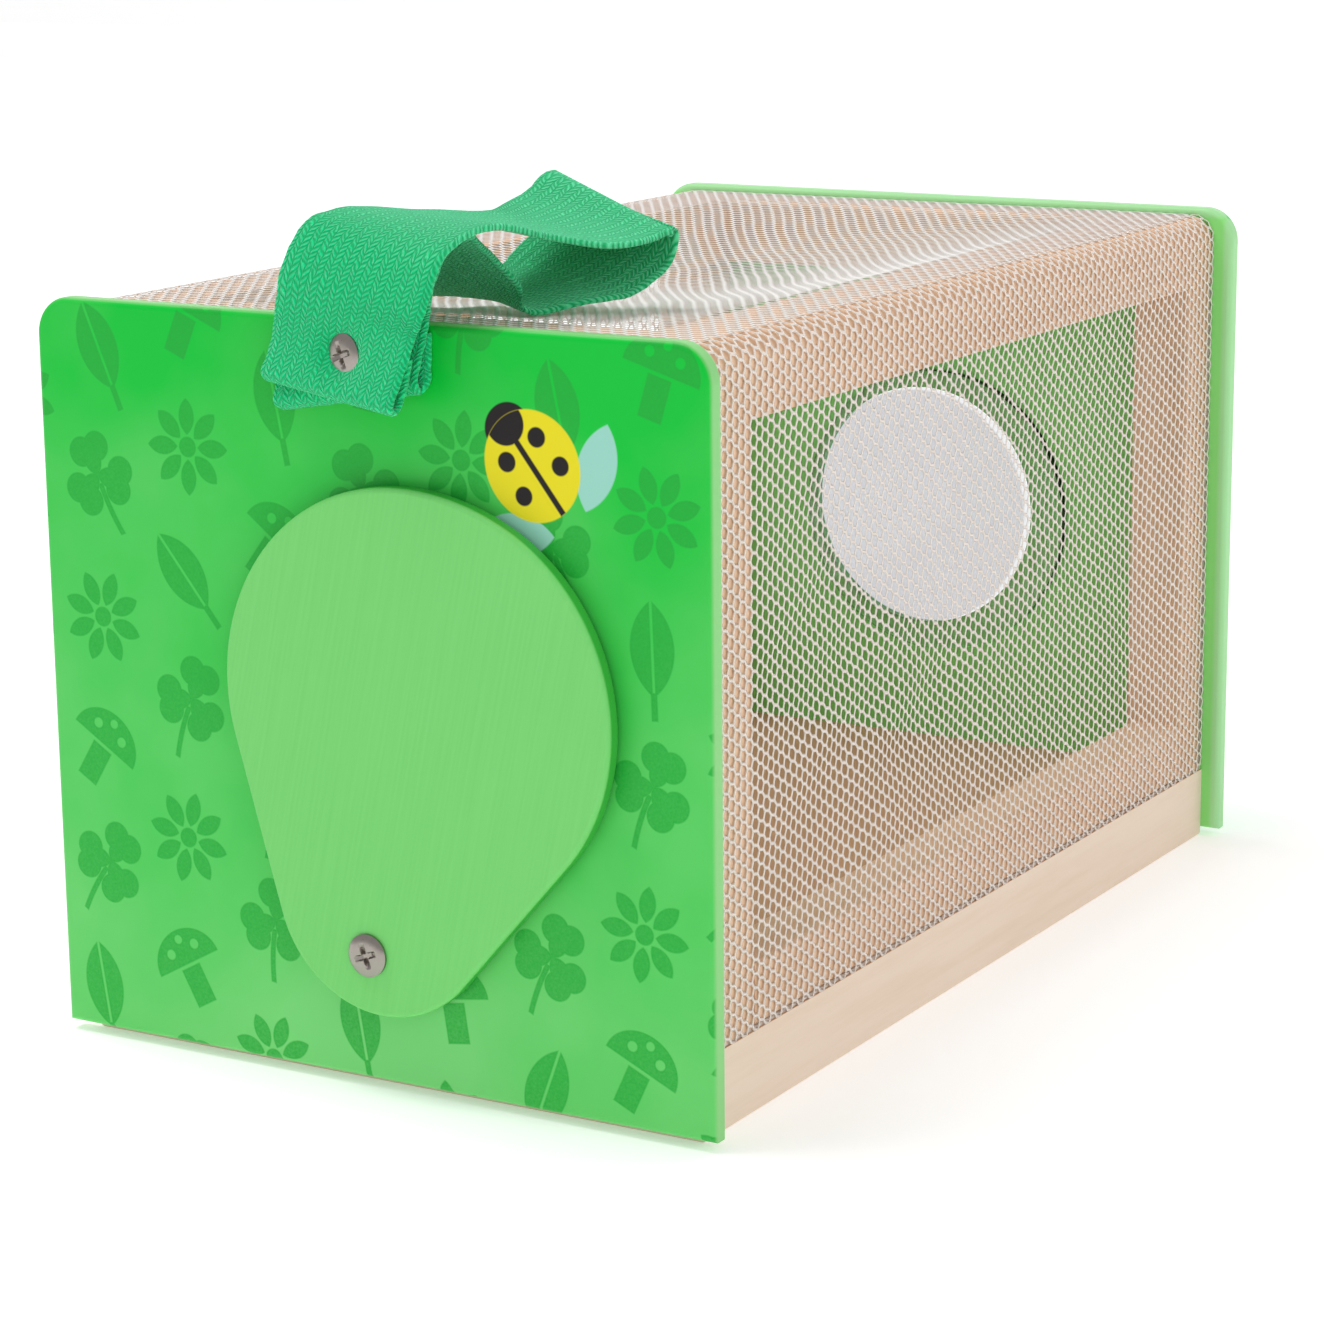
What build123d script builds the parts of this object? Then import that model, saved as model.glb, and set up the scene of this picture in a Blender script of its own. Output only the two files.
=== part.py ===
"""Wooden bug box with net walls, a swivel door, a magnifier window and a carrying strap.

The box stands on its base board. The front panel faces -Y, +X is to the right of someone who looks
at it, and the origin is the middle of the base board's underside.
"""

import math
import os

from build123d import *

# Driving dimensions, in millimetres and degrees

panel_width = 120.0
panel_height = 117.5
panel_thickness = 3.6
panel_lift = 1.5  # underside of both panels above the resting face
panel_top_radius = 6.0
panel_bottom_radius = 2.0
panel_edge_round = 1.0

panel_overhang = 3.5  # of the panels past each side of the base board

base_length = 190.0
base_thickness = 13.0
base_edge_round = 0.8

front_post_width = 15.2  # along Y, and of the front cross rail too
rear_post_width = 9.6  # along Y, and of the rear cross rail too
post_depth = 11.0  # along X
top_rail_width = 15.5
top_rail_height = 12.0
bottom_rail_width = 10.0
bottom_rail_height = 10.0
stick_edge_round = 0.8

net_thickness = 0.4
net_drop = 1.2  # top of the net below the top of the panels
net_bend_radius = 3.6  # inside of the bend over the top side rails
rail_bend_round = 4.0  # edge of the top side rails under that bend
net_hem = 6.0  # width turned in over the posts' ends and under the bottom rails
net_gap_pitch = 11.0  # from one gap to the next in a column
net_strand = 1.6

entry_radius = 22.0
entry_height = 59.5
viewing_radius = 22.8
viewing_x = -2.4
viewing_height = 59.0
port_edge_round = 0.6

lens_radius = 27.3
lens_x = 0.3
lens_height = 58.2
lens_rim = 2.0
lens_middle = 5.6
lens_seat_depth = 0.5
lens_clearance = 0.3
lens_glue = 0.05  # glue line between the lens and its seat

door_pivot_x = 2.0
door_pivot_height = 22.8
door_tilt = 12.7  # from upright towards +X, as it rests
door_thickness = 3.2
door_crown_reach = 73.0  # top of the door from its pivot
door_crown_radius = 40.0
door_half_width = 34.1
door_shoulder_radius = 32.0
door_tip_reach = 9.3  # bottom of the door from its pivot
door_tip_radius = 19.0
door_edge_round = 0.8
door_play = 0.1  # along the pivot, on each face of the door
pivot_clearance = 0.08  # around the pivot
washer_radius = 6.0
washer_thickness = 0.5
nut_width = 7.0
nut_thickness = 3.0
nut_screw_end = 1.0  # screw end past the nut

screw_radius = 1.75
screw_head_radius = 3.35
screw_head_height = 0.9
screw_head_round = 0.35
screw_hole_clearance = 0.1

strap_width = 26.0
strap_thickness = 1.0
strap_x = 1.0  # middle of the strap at its screw
strap_screw_drop = 4.8  # strap screw below the top of the panel
strap_stack_drop = 1.5  # end of the flat layers below the top of the panel
strap_tail_drop = 2.5  # end of the folded tails below the top of the panel
strap_outer_fold_drop = 9.0
strap_inner_fold_drop = 14.0
strap_fold_round = 0.9
strap_step = 1.0  # unit of the places along the strap, below
strap_screw_bite = 8.0  # into the front cross rail

base_screw_length = 30.0
base_screw_sink = 0.6  # screw head below the resting face

dowel_radius = 2.5
dowel_clearance = 0.05
dowel_panel_depth = 2.2
dowel_wood_depth = 9.0
base_dowel_spacing = 70.0
rail_dowel_spacing = 60.0
rail_dowel_rise = 3.3  # above the underside of a cross rail

staple_width = 8.0
staple_leg = 5.0
staple_wire = 0.7
staple_pitch = 40.0

# Places that follow from the dimensions

panel_inner_y = base_length / 2
front_y = -(panel_inner_y + panel_thickness)
panel_top = panel_lift + panel_height
base_width = panel_width - 2 * panel_overhang
frame_half_width = base_width / 2 - net_thickness
frame_half_length = base_length / 2 - net_thickness
frame_bottom = base_thickness + net_thickness
frame_top = panel_top - net_drop - net_thickness
window_bottom = frame_bottom + bottom_rail_height
window_top = frame_top - top_rail_height
window_front = front_post_width - frame_half_length
window_rear = frame_half_length - rear_post_width
skylight_half_width = frame_half_width - top_rail_width
post_x = frame_half_width - post_depth / 2
front_post_y = window_front - front_post_width / 2
rear_post_y = window_rear + rear_post_width / 2
rail_dowel_z = window_top + rail_dowel_rise
base_dowel_z = base_thickness / 2
strap_screw_z = panel_top - strap_screw_drop
strap_stack_depth = 4 * strap_thickness
door_back_y = front_y - washer_thickness - door_play
screw_hole_radius = screw_radius + screw_hole_clearance

front_plane = Plane(origin=(0, front_y, 0), x_dir=(1, 0, 0), z_dir=(0, -1, 0))


def along_y(radius, x, z, start, end):
    """A round bar, or the cutter for its hole, along Y."""
    return Pos(x, (start + end) / 2, z) * Rot(90, 0, 0) * Cylinder(radius, end - start)


def block(low, high):
    """A box from its lowest corner to its highest."""
    size = [top - bottom for bottom, top in zip(low, high)]
    middle = [(top + bottom) / 2 for bottom, top in zip(low, high)]
    return Pos(*middle) * Box(*size)


def screw(length):
    """A screw that points down Z, with its head's seat at Z = 0."""
    head = Pos(0, 0, screw_head_height / 2) * Cylinder(screw_head_radius, screw_head_height)
    head = fillet(head.edges().group_by(Axis.Z)[-1], screw_head_round)
    point = 2 * screw_radius
    shank = Pos(0, 0, -(length - point) / 2) * Cylinder(screw_radius, length - point)
    tip = Pos(0, 0, point / 2 - length) * Rot(180, 0, 0) * Cone(screw_radius, screw_radius / 4, point)
    return head + shank + tip


# End panels


def panel_board():
    """A panel with its rounded corners and edges, on the XZ plane, from Y = 0 to its thickness."""
    with BuildSketch(Plane(origin=(0, panel_thickness, 0), x_dir=(1, 0, 0), z_dir=(0, -1, 0))) as outline:
        with Locations((0, panel_lift + panel_height / 2)):
            board = Rectangle(panel_width, panel_height)
        corners = board.vertices().group_by(Axis.Y)
        fillet(corners[-1], panel_top_radius)
        fillet(corners[0], panel_bottom_radius)
    board = extrude(outline.sketch, panel_thickness)
    rims = board.edges().group_by(Axis.Y)
    return fillet(rims[0] + rims[-1], panel_edge_round)


def dowel_places():
    """X and Z of the dowels between a panel and the wood behind it."""
    places = []
    for side in (-1, 1):
        places.append((side * base_dowel_spacing / 2, base_dowel_z))
        places.append((side * rail_dowel_spacing / 2, rail_dowel_z))
    return places


def dowels(side):
    """The dowels at the front (side -1) or rear (side 1) panel."""
    near = side * (panel_inner_y - dowel_wood_depth)
    far = side * (panel_inner_y + dowel_panel_depth)
    start, end = sorted((near, far))
    pegs = [along_y(dowel_radius, x, z, start, end) for x, z in dowel_places()]
    return Compound(children=pegs)


def dowel_holes(side):
    """Cutters for the dowels at one end, a clearance wider than the dowels."""
    near = side * (panel_inner_y - dowel_wood_depth - dowel_clearance)
    far = side * (panel_inner_y + dowel_panel_depth + dowel_clearance)
    start, end = sorted((near, far))
    bores = [along_y(dowel_radius + dowel_clearance, x, z, start, end) for x, z in dowel_places()]
    return Part() + bores


def port(board, radius, x, z, outer_y):
    """The board with a round hole, and the hole's outer edge rounded."""
    cut = board - along_y(radius, x, z, -base_length, base_length)
    rim = cut.edges().filter_by(GeomType.CIRCLE).filter_by(lambda edge: abs(edge.radius - radius) < 1e-6)
    rim = rim.filter_by(lambda edge: abs(edge.center().Y - outer_y) < 1e-6)
    return fillet(rim, port_edge_round)


def front_panel():
    board = port(Pos(0, front_y, 0) * panel_board(), entry_radius, 0, entry_height, front_y)
    board -= along_y(screw_hole_radius, door_pivot_x, door_pivot_height, front_y - 1, -panel_inner_y + 1)
    board -= along_y(screw_hole_radius, strap_x, strap_screw_z, front_y - 1, -panel_inner_y + 1)
    return board - dowel_holes(-1)


def rear_panel():
    outer_y = panel_inner_y + panel_thickness
    board = Pos(0, panel_inner_y, 0) * panel_board()
    board = port(board, viewing_radius, viewing_x, viewing_height, outer_y)
    seat_radius = lens_radius + lens_clearance
    board -= along_y(seat_radius, lens_x, lens_height, panel_inner_y - 1, panel_inner_y + lens_seat_depth)
    return board - dowel_holes(1)


def lens():
    """A magnifier, flat on the panel's seat and domed towards the inside of the box."""
    back_y = panel_inner_y + lens_seat_depth - lens_glue
    dome = lens_middle - lens_rim
    dome_radius = (lens_radius**2 + dome**2) / (2 * dome)
    with BuildSketch(Plane.XY) as half_section:
        with BuildLine():
            Polyline((0, lens_middle), (0, 0), (lens_radius, 0), (lens_radius, lens_rim))
            RadiusArc((lens_radius, lens_rim), (0, lens_middle), -dome_radius)
        make_face()
    body = revolve(half_section.sketch, Axis.Y)
    return Pos(lens_x, back_y, lens_height) * Rot(180, 0, 0) * body


# Base board and frame


def base_screw_places():
    return [(x, y) for x in (-post_x, post_x) for y in (front_post_y, rear_post_y)]


def base_board():
    board = block(
        (-base_width / 2, -base_length / 2, 0), (base_width / 2, base_length / 2, base_thickness)
    )
    board = fillet(board.edges().filter_by(Axis.Y).group_by(Axis.Z)[0], base_edge_round)
    board -= dowel_holes(-1) + dowel_holes(1)
    sink = screw_head_height + base_screw_sink
    for x, y in base_screw_places():
        board -= Pos(x, y, base_thickness / 2) * Cylinder(screw_hole_radius, 2 * base_thickness)
        board -= Pos(x, y, sink / 2) * Cylinder(screw_head_radius + screw_hole_clearance, sink)
    return board


def base_screws():
    """The screws that come up through the base board into the posts."""
    seat = base_screw_sink + screw_head_height
    places = base_screw_places()
    return Compound(children=[Pos(x, y, seat) * Rot(180, 0, 0) * screw(base_screw_length) for x, y in places])


def stick(low, high, axis):
    """A frame stick along an axis, with its long edges rounded."""
    bar = block(low, high)
    return fillet(bar.edges().filter_by(axis), stick_edge_round)


def post(side, y, width):
    """A corner post on side -1 or 1 of X, with the pilot hole of its base screw."""
    x = side * post_x
    bar = stick(
        (x - post_depth / 2, y - width / 2, frame_bottom),
        (x + post_depth / 2, y + width / 2, window_top),
        Axis.Z,
    )
    screw_end = base_screw_sink + screw_head_height + base_screw_length
    depth = screw_end + dowel_clearance - frame_bottom
    pilot = Cylinder(screw_radius + dowel_clearance, depth)
    return bar - Pos(x, y, frame_bottom + depth / 2) * pilot


def top_rail(side):
    """A top side rail, which lies on two posts, rounder along the edge that the net bends over."""
    with BuildSketch(Plane.XZ) as section:
        with Locations(((skylight_half_width + frame_half_width) / 2, (window_top + frame_top) / 2)):
            outline = Rectangle(top_rail_width, top_rail_height)
        *others, bend = outline.vertices().sort_by(lambda corner: corner.X + corner.Y)
        fillet(bend, rail_bend_round)
        fillet(others, stick_edge_round)
    bar = extrude(section.sketch, frame_half_length, both=True)
    return bar if side > 0 else mirror(bar, about=Plane.YZ)


def bottom_rail(side):
    """A bottom side rail between two posts, with the slots that its staples make."""
    low_x, high_x = sorted((side * (frame_half_width - bottom_rail_width), side * frame_half_width))
    bar = stick((low_x, window_front, frame_bottom), (high_x, window_rear, window_bottom), Axis.Y)
    return bar - staples_on(side)


def cross_rail(end):
    """A cross rail between the top side rails and against a panel, with its dowel and screw holes."""
    low_y, high_y = (-panel_inner_y, window_front) if end < 0 else (window_rear, panel_inner_y)
    bar = stick(
        (-skylight_half_width, low_y, window_top), (skylight_half_width, high_y, frame_top), Axis.X
    )
    if end < 0:
        screw_end = -panel_inner_y + strap_screw_bite
        pilot = screw_radius + dowel_clearance
        bar -= along_y(pilot, strap_x, strap_screw_z, front_y, screw_end + dowel_clearance)
    return bar - dowel_holes(end)


# Net


def sheet_outline(low, high):
    """A flat rectangle from its lowest corner to its highest."""
    size = [top - bottom for bottom, top in zip(low, high)]
    middle = [(top + bottom) / 2 for bottom, top in zip(low, high)]
    return Pos(*middle) * Rectangle(*size)


def net_face(sheet, window):
    """A flat net as one holed face: six-sided gaps in staggered columns over the window."""
    (low_u, low_v), (high_u, high_v) = window
    middle_u, middle_v = (low_u + high_u) / 2, (low_v + high_v) / 2
    gap_radius = (net_gap_pitch - net_strand) / math.sqrt(3)
    column_pitch = net_gap_pitch * math.sqrt(3) / 2
    columns = int(((high_u - low_u) / 2 - gap_radius) / column_pitch)
    rows = int((high_v - low_v) / 2 / net_gap_pitch) + 1
    gaps = []
    for column in range(-columns, columns + 1):
        shift = net_gap_pitch / 2 if column % 2 else 0.0
        for row in range(-rows, rows + 1):
            across = row * net_gap_pitch + shift
            if abs(across) + net_gap_pitch / 2 <= (high_v - low_v) / 2:
                place = Pos(middle_u + column * column_pitch, middle_v + across)
                gaps.append((place * RegularPolygon(gap_radius, 6)).wire())
    return Face(sheet_outline(*sheet).wire(), gaps)


def net_side(side):
    """The net on one side wall, with its bend over the top rail and its turned-in hems."""
    wall_top = frame_top - net_bend_radius
    outer_x = frame_half_width + net_thickness
    half_length = base_length / 2
    plane = Plane(origin=(frame_half_width, 0, 0), x_dir=(0, 1, 0), z_dir=(1, 0, 0))
    strip = net_face(
        ((-half_length, frame_bottom), (half_length, wall_top)),
        ((window_front, window_bottom), (window_rear, window_top)),
    )
    wall = extrude(plane * strip, net_thickness)
    with BuildSketch(Plane.XZ) as bend:
        with Locations((frame_half_width - net_bend_radius, wall_top)):
            Circle(net_bend_radius + net_thickness)
            Circle(net_bend_radius, mode=Mode.SUBTRACT)
        with Locations((frame_half_width - net_bend_radius, wall_top)):
            Rectangle(base_width, base_width, align=(Align.MIN, Align.MIN), mode=Mode.INTERSECT)
    wall += extrude(bend.sketch, half_length, both=True)
    inner_x = frame_half_width - net_hem
    wall += block((inner_x, -half_length, base_thickness), (outer_x, half_length, frame_bottom))
    for end in (-1, 1):
        low_y, high_y = sorted((end * frame_half_length, end * half_length))
        wall += block((inner_x, low_y, frame_bottom), (frame_half_width, high_y, wall_top))
    if side < 0:
        wall = mirror(wall, about=Plane.YZ)
    wall -= staples_on(side)
    for x, y in base_screw_places():
        wall -= Pos(x, y, frame_bottom) * Cylinder(screw_hole_radius, 4 * net_thickness)
    return wall


def net_top():
    """The net over the top, from one panel to the other."""
    half_width = frame_half_width - net_bend_radius
    half_length = base_length / 2
    strip = net_face(
        ((-half_width, -half_length), (half_width, half_length)),
        ((-skylight_half_width, window_front), (skylight_half_width, window_rear)),
    )
    return extrude(Pos(0, 0, frame_top) * strip, net_thickness)


def staples_on(side):
    """The staples that hold the net under one bottom rail, crowns flush with the underside of the hem."""
    span = window_rear - window_front - staple_width
    count = int(span / staple_pitch) + 1
    wires = []
    for index in range(count):
        y = (window_front + window_rear) / 2 + (index - (count - 1) / 2) * staple_pitch
        x = side * (frame_half_width - net_hem / 2)
        half = staple_wire / 2
        reach = staple_width / 2
        crown_top = base_thickness + staple_wire
        wire = block((x - half, y - reach, base_thickness), (x + half, y + reach, crown_top))
        for leg in (-1, 1):
            low_y, high_y = sorted((y + leg * reach, y + leg * (reach - staple_wire)))
            wire += block((x - half, low_y, base_thickness), (x + half, high_y, crown_top + staple_leg))
        wires.append(wire)
    return Part() + wires


# Door


def door_outline():
    """The egg-shaped outline: a flat crown, two shoulders, straight flanks and a round tip."""
    crown_y = door_crown_reach - door_crown_radius
    shoulder_x = door_half_width - door_shoulder_radius
    inset = door_crown_radius - door_shoulder_radius
    shoulder_y = crown_y + math.sqrt(inset**2 - shoulder_x**2)
    tip_y = door_tip_radius - door_tip_reach
    shoulder = Vector(shoulder_x, shoulder_y)
    crown_end = Vector(0, crown_y) + (shoulder - Vector(0, crown_y)) * (door_crown_radius / inset)
    rise = shoulder_y - tip_y
    lean = math.atan2(shoulder_x, rise)
    slope = math.asin((door_tip_radius - door_shoulder_radius) / math.hypot(shoulder_x, rise)) - lean
    normal = Vector(math.cos(slope), math.sin(slope))
    flank_top = shoulder + normal * door_shoulder_radius
    flank_bottom = Vector(0, tip_y) + normal * door_tip_radius
    with BuildSketch() as outline:
        with BuildLine():
            ThreePointArc((0, door_crown_reach), arc_middle(crown_y, crown_end), crown_end)
            ThreePointArc(crown_end, (door_half_width, shoulder_y), flank_top)
            Line(flank_top, flank_bottom)
            ThreePointArc(flank_bottom, arc_middle(tip_y, flank_bottom, -1), (0, -door_tip_reach))
            mirror(about=Plane.YZ)
        make_face()
    return outline.sketch


def arc_middle(centre_y, end, way=1):
    """The point halfway along an arc about (0, centre_y) from the mirror line to end."""
    radius = math.hypot(end.X, end.Y - centre_y)
    half_turn = math.atan2(end.X, way * (end.Y - centre_y)) / 2
    return (radius * math.sin(half_turn), centre_y + way * radius * math.cos(half_turn))


def door():
    """The door at its resting tilt, with its pivot hole."""
    board = extrude(door_outline(), door_thickness)
    rims = board.edges().group_by(Axis.Z)
    board = fillet(rims[0] + rims[-1], door_edge_round)
    board -= Cylinder(screw_radius + pivot_clearance, 4 * door_thickness)
    back = Plane(origin=(door_pivot_x, door_back_y, door_pivot_height), x_dir=(1, 0, 0), z_dir=(0, -1, 0))
    return back * Rot(0, 0, -door_tilt) * board


def door_washer():
    ring = Cylinder(washer_radius, washer_thickness) - Cylinder(screw_hole_radius, 2 * washer_thickness)
    place = front_plane * Pos(door_pivot_x, door_pivot_height, washer_thickness / 2)
    return place * ring


def door_nut():
    blank = extrude(RegularPolygon(nut_width / 2, 6, major_radius=False), nut_thickness)
    nut = blank - Cylinder(screw_radius + dowel_clearance, 4 * nut_thickness)
    place = Pos(door_pivot_x, -panel_inner_y, door_pivot_height) * Rot(-90, 0, 0)
    return place * nut


def door_screw():
    seat = washer_thickness + door_thickness + 2 * door_play
    length = seat + panel_thickness + nut_thickness + nut_screw_end
    place = front_plane * Pos(door_pivot_x, door_pivot_height, seat)
    return place * screw(length + 2 * screw_radius)


# Carrying strap

# Middle of the strap along its loop, in steps: X from the strap screw, Y back from the front face of
# the panel, Z above the top of the panel. Then the turn of its width about Z and the dip of its right
# edge, in degrees.
strap_stations = [
    (0.0, -3.5, -1.5, 0, 0),
    (2.1, -4.5, 5.1, 0, 2),
    (4.4, -2.2, 11.2, 0, 2),
    (6.0, 2.6, 13.8, 0, 3),
    (7.7, 9.6, 14.1, 0, 3),
    (10.6, 19.2, 12.5, -2, 6),
    (14.7, 29.5, 11.0, -5, 8),
    (16.0, 37.8, 11.8, -7, 12),
    (16.9, 43.2, 13.6, -10, 18),
    (17.0, 44.9, 12.4, -11, 18),
    (16.7, 45.1, 10.2, -12, 18),
    (15.5, 44.1, 7.1, -12, 12),
    (13.3, 39.4, 3.9, -8, 9),
    (10.2, 33.2, 1.8, -11, 2),
    (4.5, 25.9, 0.6, -10, 1),
    (2.3, 19.4, 4.9, -7, -2),
    (1.3, 13.1, 9.7, -5, -1),
    (1.5, 5.9, 11.9, -2, -2),
    (1.1, -0.7, 6.5, 0, -1),
    (0.0, -1.5, -1.5, 0, 0),
]


def strap_section(middle, along, turn, dip):
    """The strap's cross-section at one station, square to the way it runs."""
    turn, dip = math.radians(turn), math.radians(dip)
    across = Vector(math.cos(turn) * math.cos(dip), math.sin(turn) * math.cos(dip), -math.sin(dip))
    across = (across - along * across.dot(along)).normalized()
    up = across.cross(along).normalized()
    half, thin = across * (strap_width / 2), up * (strap_thickness / 2)
    corners = [middle - half - thin, middle + half - thin, middle + half + thin, middle - half + thin]
    return Face(Wire.make_polygon(corners, close=True))


def handle_strap():
    """The loop with its twist, and its two folded ends stacked under the screw."""
    start = Vector(strap_x, front_y, panel_top)
    middles = [start + Vector(x, y, z) * strap_step for x, y, z, turn, dip in strap_stations]
    sections = []
    for index, (x, y, z, turn, dip) in enumerate(strap_stations):
        along = middles[min(index + 1, len(middles) - 1)] - middles[max(index - 1, 0)]
        if index == 0:
            along = Vector(0, 0, 1)
        if index == len(middles) - 1:
            along = Vector(0, 0, -1)
        sections.append(strap_section(middles[index], along.normalized(), turn, dip))
    strap = Part() + [loft([here, there], ruled=True) for here, there in zip(sections, sections[1:])]
    left, right = strap_x - strap_width / 2, strap_x + strap_width / 2
    for layer, fold_drop in ((0, strap_inner_fold_drop), (2, strap_outer_fold_drop)):
        near = front_y - layer * strap_thickness
        far = near - 2 * strap_thickness
        fold = block(
            (left, far, panel_top - fold_drop), (right, near, panel_top - strap_tail_drop)
        )
        fold = fillet(fold.edges().filter_by(Axis.X).group_by(Axis.Z)[0], strap_fold_round)
        strap += fold
        strap += block(
            (left, far, panel_top - strap_tail_drop),
            (right, far + strap_thickness, panel_top - strap_stack_drop),
        )
    outer_y = front_y - strap_stack_depth
    return strap - along_y(screw_hole_radius, strap_x, strap_screw_z, outer_y - 1, front_y + 1)


def strap_screw():
    length = strap_stack_depth + panel_thickness + strap_screw_bite
    return front_plane * Pos(strap_x, strap_screw_z, strap_stack_depth) * screw(length)


# All pieces, by name

pieces = {
    "front_panel": front_panel(),
    "rear_panel": rear_panel(),
    "lens": lens(),
    "base_board": base_board(),
    "base_screws": base_screws(),
    "front_left_post": post(-1, front_post_y, front_post_width),
    "front_right_post": post(1, front_post_y, front_post_width),
    "rear_left_post": post(-1, rear_post_y, rear_post_width),
    "rear_right_post": post(1, rear_post_y, rear_post_width),
    "top_left_rail": top_rail(-1),
    "top_right_rail": top_rail(1),
    "bottom_left_rail": bottom_rail(-1),
    "bottom_right_rail": bottom_rail(1),
    "front_cross_rail": cross_rail(-1),
    "rear_cross_rail": cross_rail(1),
    "front_panel_dowels": dowels(-1),
    "rear_panel_dowels": dowels(1),
    "net_left": net_side(-1),
    "net_top": net_top(),
    "net_right": net_side(1),
    "net_staples": Compound(children=[*staples_on(-1).solids(), *staples_on(1).solids()]),
    "door": door(),
    "door_screw": door_screw(),
    "door_washer": door_washer(),
    "door_nut": door_nut(),
    "handle_strap": handle_strap(),
    "strap_screw": strap_screw(),
}

os.makedirs("parts", exist_ok=True)
for name, piece in pieces.items():
    export_step(piece, f"parts/{name}.step")
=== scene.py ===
"""Looks of the wooden bug box: paint, wood, net, webbing, screws, lens and the studio around them."""

import math

import bmesh
import bpy
from bpy.props import FloatProperty, FloatVectorProperty, PointerProperty
from mathutils import Matrix, Vector


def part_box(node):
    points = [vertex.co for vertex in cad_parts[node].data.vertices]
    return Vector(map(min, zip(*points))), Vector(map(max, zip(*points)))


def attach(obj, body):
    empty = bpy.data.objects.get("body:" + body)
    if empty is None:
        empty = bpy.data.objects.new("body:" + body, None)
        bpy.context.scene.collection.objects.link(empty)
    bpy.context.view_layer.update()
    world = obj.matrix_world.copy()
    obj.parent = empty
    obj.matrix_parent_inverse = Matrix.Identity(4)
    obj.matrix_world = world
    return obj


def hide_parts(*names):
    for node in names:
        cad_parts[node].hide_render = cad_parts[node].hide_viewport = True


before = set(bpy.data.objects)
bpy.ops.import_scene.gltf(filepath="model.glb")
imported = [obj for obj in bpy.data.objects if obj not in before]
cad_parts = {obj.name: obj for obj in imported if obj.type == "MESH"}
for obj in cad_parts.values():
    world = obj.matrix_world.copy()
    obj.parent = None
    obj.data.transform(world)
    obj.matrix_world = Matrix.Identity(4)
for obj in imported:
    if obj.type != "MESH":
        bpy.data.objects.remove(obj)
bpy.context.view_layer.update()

bl_info = {
    "name": "Bug box",
    "version": (1, 0, 0),
    "blender": (4, 5, 0),
    "location": "3D View > Sidebar > Bug box",
    "description": "Builds the looks of a wooden bug box around its packed frame",
    "category": "Object",
}

MM = 0.001


def linear(red, green, blue):
    """A screen colour of 0 to 255 as a linear colour."""
    channels = []
    for level in (red, green, blue):
        part = level / 255
        channels.append(part / 12.92 if part <= 0.04045 else ((part + 0.055) / 1.055) ** 2.4)
    return tuple(channels)


def length(name, description, millimetres):
    """A setting that is a length."""
    return FloatProperty(
        name=name, description=description, default=millimetres * MM, unit="LENGTH", precision=5
    )


def angle(name, description, degrees):
    """A setting that is an angle."""
    return FloatProperty(name=name, description=description, default=math.radians(degrees), unit="ROTATION")


def number(name, description, default):
    """A setting that is a plain number."""
    return FloatProperty(name=name, description=description, default=default)


def colour(name, description, red, green, blue):
    """A setting that is a colour, given from 0 to 255."""
    return FloatVectorProperty(
        name=name, description=description, default=linear(red, green, blue), subtype="COLOR", min=0, max=1
    )


def point(name, description, x, y, z):
    """A setting that is a place, given in millimetres."""
    return FloatVectorProperty(
        name=name, description=description, default=(x * MM, y * MM, z * MM), subtype="XYZ", unit="LENGTH"
    )


# Settings


class PaintLooks(bpy.types.PropertyGroup):
    panel: colour("Panel", "Paint of the two panels, as it is at the top", 6, 198, 60)
    panel_pale: colour("Panel wash", "Paler wash towards the bottom", 122, 216, 122)
    motif: colour("Motifs", "Tone of the printed leaves, clovers and mushrooms", 30, 172, 58)
    # The paler green of the panel edges is a painted highlight on their rounded edges.
    edge: colour("Panel edge", "Paint on the rounded edges of the panels", 138, 209, 129)
    # The paler green of the rear panel's edges is a painted highlight.
    rear_edge_highlight: colour("Rear panel edge", "Paint on the edges of the rear panel", 164, 224, 158)
    inside: colour("Panel inside", "Paint on the inner faces of the panels", 140, 224, 124)
    door: colour("Door", "Paint of the door", 113, 207, 107)
    door_pale: colour("Door brush marks", "Pale brush marks on the door", 128, 217, 122)
    door_edge: colour("Door edge", "Paint on the edge of the door", 62, 176, 66)
    door_tilt: angle("Door tilt", "Lean of the brush marks, as the door rests", 12.7)
    yellow: colour("Beetle shell", "Yellow of the printed beetle", 236, 222, 30)
    black: colour("Beetle marks", "Black of the printed beetle", 32, 26, 28)
    aqua: colour("Beetle leaves", "Pale leaves beside the printed beetle", 156, 216, 200)
    gloss: number("Gloss", "How strongly the paint mirrors", 0.2)
    motif_pitch: length("Motif pitch", "From one printed motif to the next", 18.5)
    motif_x: length("Motif X", "Shift of the printed rows to the left", 7.0)
    motif_z: length("Motif height", "Shift of the printed rows downwards", 3.0)
    motif_lean: angle("Motif lean", "Turn of the printed rows", 24.0)
    beetle_x: length("Beetle X", "Middle of the printed beetle", 30.5)
    beetle_z: length("Beetle height", "Middle of the printed beetle above the ground", 99.5)
    beetle_size: number("Beetle size", "Size of the printed beetle", 1.2)
    beetle_turn: angle("Beetle turn", "Lean of the printed beetle", 38.0)


class WoodLooks(bpy.types.PropertyGroup):
    base: colour("Base board", "Wood of the base board", 235, 216, 197)
    base_grain: colour("Base grain", "Grain lines of the base board", 229, 207, 185)
    # The browner upper face of the base board is partly the wood's own tone and partly painted shade under
    # the net.
    floor: colour("Inner floor", "Browner wood of the base board's upper face", 206, 166, 132)
    stick: colour("Sticks", "Wood of the posts and rails", 236, 202, 172)
    stick_grain: colour("Stick grain", "Grain lines of the posts and rails", 222, 184, 150)
    grain_pitch: length("Grain pitch", "Size of the grain across the stick", 2.4)


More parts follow.
